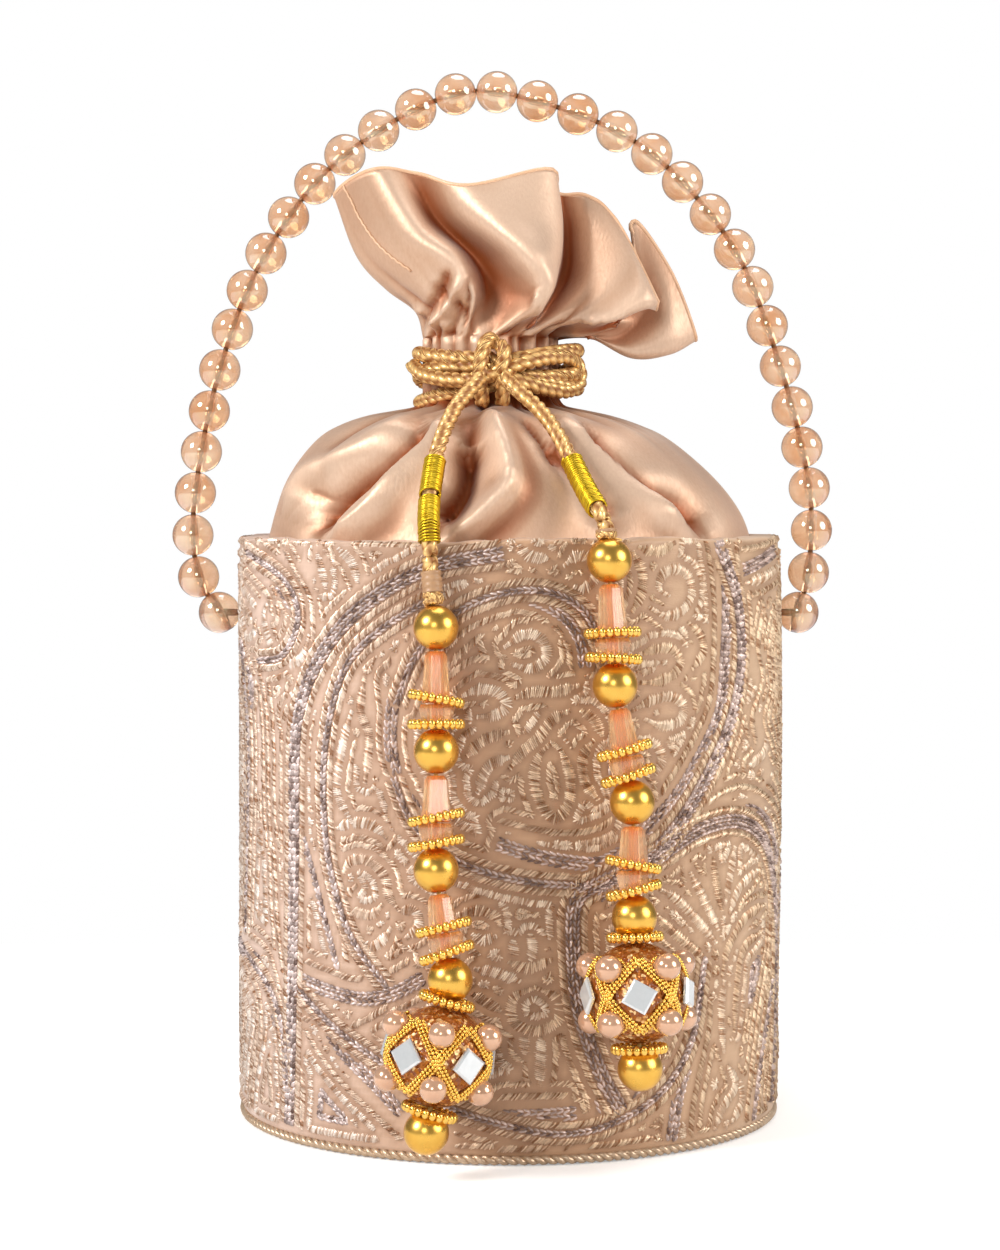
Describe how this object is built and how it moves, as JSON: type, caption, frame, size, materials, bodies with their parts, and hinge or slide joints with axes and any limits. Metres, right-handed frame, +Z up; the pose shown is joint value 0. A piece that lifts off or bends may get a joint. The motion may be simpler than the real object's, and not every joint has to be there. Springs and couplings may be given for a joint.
{
  "type": "potli bag",
  "caption": "Potli bag: an embroidered drum with a gathered satin top, a tie cord with bead strands and a beaded arch handle.",
  "frame": {"origin": "middle of the drum's underside, on the surface the bag stands on", "axes": "+Z up, the front with the bead strands faces -Y, +X to the right seen from the front"},
  "size_m": [0.1595, 0.1588, 0.2507],
  "materials": {
    "embroidery": "satin with raised metallic thread",
    "board": "plain",
    "satin": "glossy satin",
    "piping": "twisted metallic cord",
    "rope": "twisted gold rope",
    "bullion": "coiled wire",
    "tape": "glossy",
    "gold_bead": "mirror gold plating",
    "peach_bead": "translucent, faceted",
    "handle_bead": "translucent, lustrous",
    "glitter": "copper glitter with mirrors, beads and pearls",
    "thread": "plain"
  },
  "bodies": {
    "drum": {"embroidered_cover": "embroidery", "board_wall": "board", "base_board": "board", "base_cover": "satin", "satin_lining": "satin", "bottom_piping": "piping", "satin_pouch": "satin", "neck_cord": "rope", "left_tail_cord": "rope", "right_tail_cord": "rope", "left_bullion_upper": "bullion", "left_bullion_lower": "bullion", "right_bullion": "bullion"},
    "handle": {"beaded_handle": "handle_bead"},
    "left_cord_end": {"left_cord_end": "rope", "left_cord_tape": "tape"},
    "left_strand": {"left_gold_ball_1": "gold_bead", "left_gold_ball_2": "gold_bead", "left_gold_ball_3": "gold_bead", "left_gold_ball_4": "gold_bead", "left_gold_ball_5": "gold_bead", "left_cone_1": "peach_bead", "left_cone_2": "peach_bead", "left_cone_3": "peach_bead", "left_bell_1": "peach_bead", "left_bell_2": "peach_bead", "left_bell_3": "peach_bead", "left_ring_1": "gold_bead", "left_ring_2": "gold_bead", "left_ring_3": "gold_bead", "left_ring_4": "gold_bead", "left_ring_5": "gold_bead", "left_ring_6": "gold_bead", "left_cap_upper": "gold_bead", "left_cap_lower": "gold_bead", "left_thread": "thread"},
    "left_ornament": {"left_ornament_ball": "glitter"},
    "right_cord_end": {"right_cord_end": "rope", "right_cord_tape": "tape"},
    "right_strand": {"right_gold_ball_1": "gold_bead", "right_gold_ball_2": "gold_bead", "right_gold_ball_3": "gold_bead", "right_gold_ball_4": "gold_bead", "right_gold_ball_5": "gold_bead", "right_cone_1": "peach_bead", "right_cone_2": "peach_bead", "right_cone_3": "peach_bead", "right_bell_1": "peach_bead", "right_bell_2": "peach_bead", "right_bell_3": "peach_bead", "right_ring_1": "gold_bead", "right_ring_2": "gold_bead", "right_ring_3": "gold_bead", "right_ring_4": "gold_bead", "right_ring_5": "gold_bead", "right_ring_6": "gold_bead", "right_cap_upper": "gold_bead", "right_cap_lower": "gold_bead", "right_thread": "thread"},
    "right_ornament": {"right_ornament_ball": "glitter"}
  },
  "joints": [
    {"name": "handle_swing", "type": "hinge", "parent": "drum", "child": "handle", "pos_m": [0, 0, 0.121], "axis": [-1, 0, 0], "range_deg": [-115, 140]},
    {"name": "left_strand_lift", "type": "hinge", "parent": "drum", "child": "left_cord_end", "pos_m": [-0.0175, -0.06726, 0.1348], "axis": [-0.9678, 0.2518, 0], "range_deg": [0, 90]},
    {"name": "left_strand_sway", "type": "hinge", "parent": "left_cord_end", "child": "left_strand", "pos_m": [-0.0162, -0.06903, 0.1208], "axis": [-0.2285, -0.9735, 0], "range_deg": [-30, 6]},
    {"name": "left_ornament_spin", "type": "hinge", "parent": "left_strand", "child": "left_ornament", "pos_m": [-0.01561, -0.07873, 0.0275], "axis": [0.1548, 0.0704, 0.9854], "continuous": true},
    {"name": "right_strand_lift", "type": "hinge", "parent": "drum", "child": "right_cord_end", "pos_m": [0.0212, -0.06692, 0.1426], "axis": [-0.9533, -0.302, 0], "range_deg": [0, 90]},
    {"name": "right_strand_sway", "type": "hinge", "parent": "right_cord_end", "child": "right_strand", "pos_m": [0.022, -0.06741, 0.1355], "axis": [0.3103, -0.9506, 0], "range_deg": [-6, 30]},
    {"name": "right_ornament_spin", "type": "hinge", "parent": "right_strand", "child": "right_ornament", "pos_m": [0.028, -0.07526, 0.0409], "axis": [-0.0363, 0.0919, 0.9951], "continuous": true}
  ]
}
